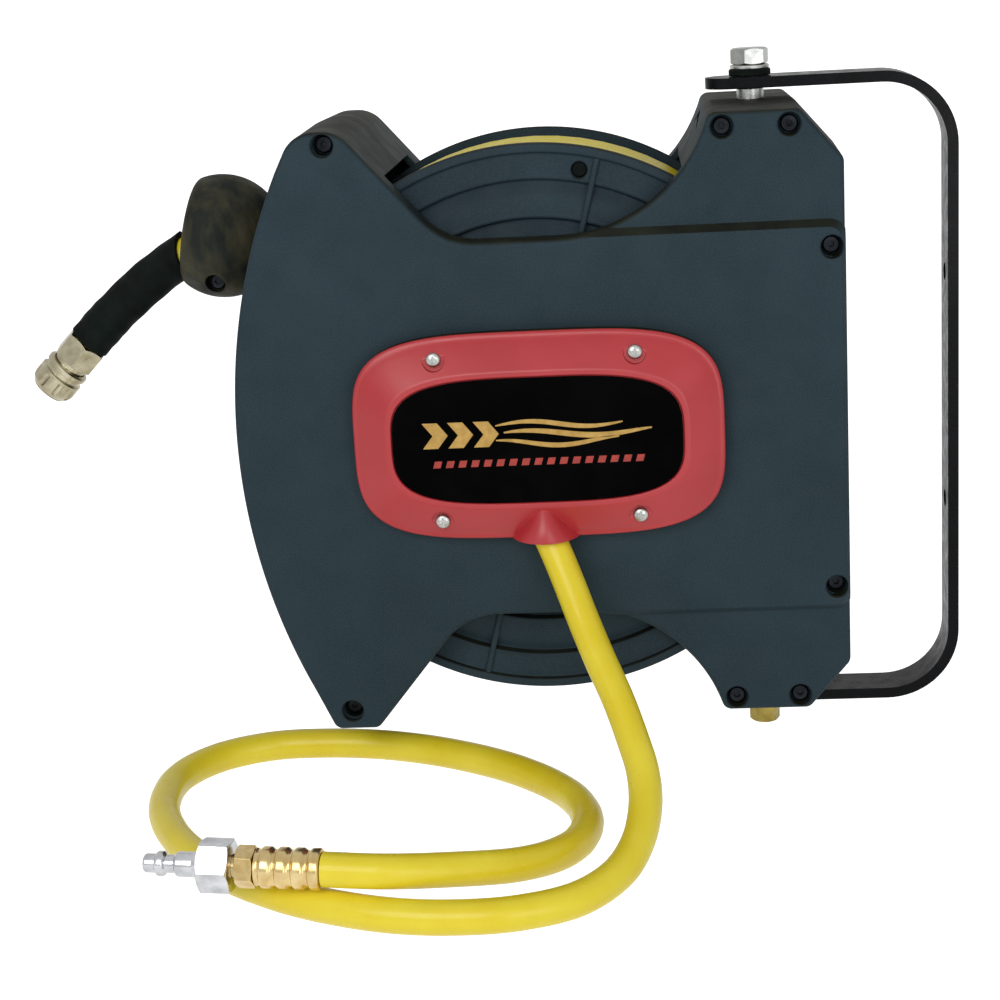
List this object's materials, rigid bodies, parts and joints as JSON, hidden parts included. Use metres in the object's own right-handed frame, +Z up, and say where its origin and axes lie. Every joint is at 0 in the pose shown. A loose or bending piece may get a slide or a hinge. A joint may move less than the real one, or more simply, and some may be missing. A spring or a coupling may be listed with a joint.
{
  "type": "air hose reel",
  "caption": "Wall-mounted spring-rewind compressed-air hose reel: waisted casing, red cover, swivelling U bracket, short outlet with ball stop and coupler, loose inlet hose.",
  "frame": {"origin": "centre of the bracket's outer wall face, midway between its two screw holes", "axes": "+X out of the reel into the wall, +Y from the reel's front cover to its back, +Z up along the swivel axis"},
  "size_m": [0.4854, 0.3239, 0.3646],
  "materials": {
    "casing": "fine grained slate grey moulding",
    "drum": "satin blue grey moulding",
    "red cover": "satin red moulding",
    "label": "black gloss plate",
    "hose": "smooth glossy yellow hose",
    "rubber": "matt black rubber",
    "bracket paint": "gloss black paint",
    "zinc": "bright zinc plate",
    "yellow zinc": "yellow passivated zinc plate",
    "brass": "machined brass",
    "nickel": "warm nickel plate",
    "steel": "polished plated steel",
    "spring steel": "dark tempered strip and wire",
    "acetal": "natural acetal",
    "roller": "grey acetal"
  },
  "bodies": {
    "bracket": {"bracket": "bracket paint"},
    "casing": {"front_shell": "casing", "rear_shell": "casing", "casing_screw_1": "zinc", "casing_screw_2": "zinc", "casing_screw_3": "zinc", "casing_screw_4": "zinc", "casing_screw_5": "zinc", "casing_screw_6": "zinc", "casing_screw_7": "zinc", "casing_screw_8": "zinc", "badge_cover": "red cover", "label_plate": "label", "badge_screw_1": "zinc", "badge_screw_2": "zinc", "badge_screw_3": "zinc", "badge_screw_4": "zinc", "inlet_elbow": "brass", "elbow_locknut": "brass", "axle": "steel", "axle_nut": "zinc", "pawl_pin": "steel", "pawl_spring": "spring steel", "roller_pin_1": "steel", "roller_pin_2": "steel", "outlet_hose": "hose", "hose_stop_front": "rubber", "hose_stop_rear": "rubber", "stop_screw_1": "zinc", "stop_screw_2": "zinc", "bend_sleeve": "rubber", "coupler_body": "nickel", "inlet_hose": "hose", "inlet_ferrule": "brass", "inlet_tail": "brass", "inlet_plug": "steel", "upper_pivot_nut": "zinc", "upper_pivot_bush": "zinc", "upper_pivot_bolt": "zinc", "rubber_washer": "rubber", "upper_washer": "zinc", "lower_pivot_nut": "zinc", "lower_pivot_bush": "zinc", "lower_pivot_bolt": "yellow zinc"},
    "drum": {"drum_front": "drum", "drum_rear": "drum", "drum_screw_1": "zinc", "drum_screw_2": "zinc", "wound_hose": "hose", "swivel_body": "brass", "swivel_oring": "rubber", "drum_nipple": "brass", "hub_hose": "hose", "rear_bush": "acetal", "spiral_spring": "spring steel", "spring_cover": "zinc"},
    "pawl": {"pawl": "steel"},
    "upper roller": {"guide_roller_1": "roller"},
    "lower roller": {"guide_roller_2": "roller"},
    "coupler collar": {"coupler_collar": "nickel"}
  },
  "joints": [
    {"name": "bracket_swivel", "type": "hinge", "parent": "bracket", "child": "casing", "pos_m": [-0.1024, 0, 0], "axis": [0, 0, 1], "range_deg": [-80, 80]},
    {"name": "drum_spin", "type": "hinge", "parent": "casing", "child": "drum", "pos_m": [-0.2134, 0, 0], "axis": [0, -1, 0], "range_deg": [0, 4860]},
    {"name": "pawl_pivot", "type": "hinge", "parent": "casing", "child": "pawl", "pos_m": [-0.14655, 0.045, -0.07967], "axis": [0, 1, 0], "range_deg": [-20, 8]},
    {"name": "upper_roller_spin", "type": "hinge", "parent": "casing", "child": "upper roller", "pos_m": [-0.33413, 0, 0.1189], "axis": [0, 1, 0], "continuous": true},
    {"name": "lower_roller_spin", "type": "hinge", "parent": "casing", "child": "lower roller", "pos_m": [-0.34431, 0, 0.0869], "axis": [0, 1, 0], "continuous": true},
    {"name": "coupler_release", "type": "slide", "parent": "casing", "child": "coupler collar", "axis": [0.7041, 0, 0.7101], "range_m": [0, 0.0025], "stiffness_N_per_m": 600}
  ]
}
